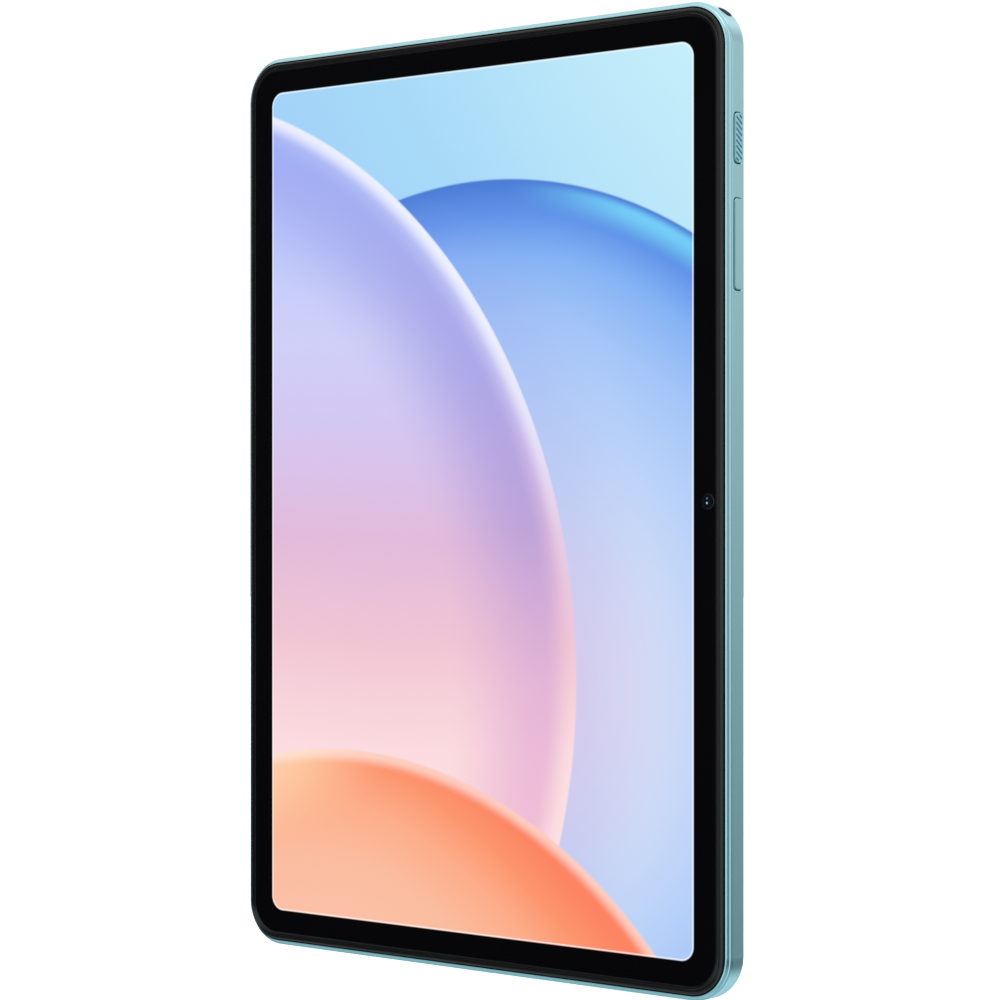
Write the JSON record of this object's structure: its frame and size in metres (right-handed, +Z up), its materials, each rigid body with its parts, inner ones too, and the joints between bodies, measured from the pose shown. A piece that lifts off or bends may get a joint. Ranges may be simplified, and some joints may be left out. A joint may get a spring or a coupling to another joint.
{
  "type": "tablet computer",
  "caption": "Slim metal-backed tablet computer with a large bright screen in an even black border, side keys, a round rear camera, a card tray and charging and headphone sockets.",
  "frame": {"origin": "centre of the flat outer face of the back", "axes": "+Z up along the long side, +Y out of the back, so the screen faces -Y; +X towards the side with the keys"},
  "size_m": [0.1491, 0.0087, 0.2266],
  "materials": {
    "anodised_mint": "fine-grained mint anodised metal",
    "mint_plastic": "mint paint",
    "black_plastic": "satin black",
    "black_glass": "polished, black printed back",
    "adhesive": "thin tape",
    "display_cell": "laminated glass",
    "light_guide": "white satin tray and films",
    "flex_film": "polyimide film",
    "steel": "satin",
    "lens_glass": "coated",
    "rubber": "matt",
    "board": "solder mask",
    "graphite": "satin sheet",
    "gold_contact": "gold plated",
    "battery_foil": "satin laminated foil pouch",
    "cable": "jacket"
  },
  "bodies": {
    "tablet": {"rear_housing": "anodised_mint", "antenna_window": "mint_plastic", "bezel_frame": "black_plastic", "cover_glass": "black_glass", "glass_adhesive": "adhesive", "lcd_cell": "display_cell", "backlight_unit": "light_guide", "display_flex": "flex_film", "key_bracket": "steel", "key_switches": "steel", "key_flex": "flex_film", "card_socket": "steel", "camera_ring": "anodised_mint", "camera_glass": "black_glass", "rear_camera": "black_plastic", "rear_camera_lens": "lens_glass", "rear_camera_flex": "flex_film", "camera_gasket": "rubber", "front_camera": "black_plastic", "front_camera_lens": "lens_glass", "light_sensor": "black_plastic", "main_board": "board", "processor_shield": "steel", "power_shield": "steel", "radio_shield": "steel", "processor_chip": "black_plastic", "memory_chip": "black_plastic", "power_chip": "black_plastic", "radio_chip": "black_plastic", "thermal_pad": "rubber", "graphite_sheet": "graphite", "lower_board": "board", "usb_shell": "steel", "usb_tongue": "black_plastic", "headphone_jack": "black_plastic", "jack_contacts": "gold_contact", "battery_cell_left": "battery_foil", "battery_cell_right": "battery_foil", "battery_board": "board", "battery_tapes": "adhesive", "battery_flex": "flex_film", "board_link_flex": "flex_film", "upper_speaker_box": "black_plastic", "lower_speaker_box": "black_plastic", "speaker_magnets": "steel", "speaker_meshes": "steel", "upper_microphone": "steel", "lower_microphone": "steel", "microphone_boots": "rubber", "antennas": "gold_contact", "antenna_cables": "cable", "board_screws": "steel"},
    "power_key": {"power_button": "anodised_mint"},
    "volume_key": {"volume_button": "anodised_mint"},
    "card_tray": {"card_tray": "anodised_mint"},
    "eject_rod": {"eject_rod": "steel"},
    "eject_lever": {"eject_lever": "steel"},
    "upper_cone": {"upper_speaker_cone": "black_plastic"},
    "lower_cone": {"lower_speaker_cone": "black_plastic"}
  },
  "joints": [
    {"name": "power_press", "type": "slide", "parent": "tablet", "child": "power_key", "axis": [-1, 0, 0], "range_m": [0, 0.0002], "stiffness_N_per_m": 1500},
    {"name": "volume_rock", "type": "hinge", "parent": "tablet", "child": "volume_key", "pos_m": [0.07215, -0.00325, 0.058], "axis": [0, 1, 0], "range_deg": [-0.8, 0.8], "stiffness_Nm_per_rad": 0.2},
    {"name": "tray_slide", "type": "slide", "parent": "tablet", "child": "card_tray", "axis": [-1, 0, 0], "range_m": [0, 0.024]},
    {"name": "eject_push", "type": "slide", "parent": "tablet", "child": "eject_rod", "axis": [1, 0, 0], "range_m": [0, 0.00121]},
    {"name": "eject_turn", "type": "hinge", "parent": "tablet", "child": "eject_lever", "pos_m": [-0.0525, -0.0025, 0.08155], "axis": [0, -1, 0], "range_deg": [0, 15.7]},
    {"name": "upper_cone_move", "type": "slide", "parent": "tablet", "child": "upper_cone", "axis": [0, -1, 0], "range_m": [-0.0002, 0.0002], "stiffness_N_per_m": 300},
    {"name": "lower_cone_move", "type": "slide", "parent": "tablet", "child": "lower_cone", "axis": [0, -1, 0], "range_m": [-0.0002, 0.0002], "stiffness_N_per_m": 300}
  ],
  "couplings": [
    {"joint": "eject_turn", "follows": "eject_push", "rad_per_m": 225.44}
  ]
}
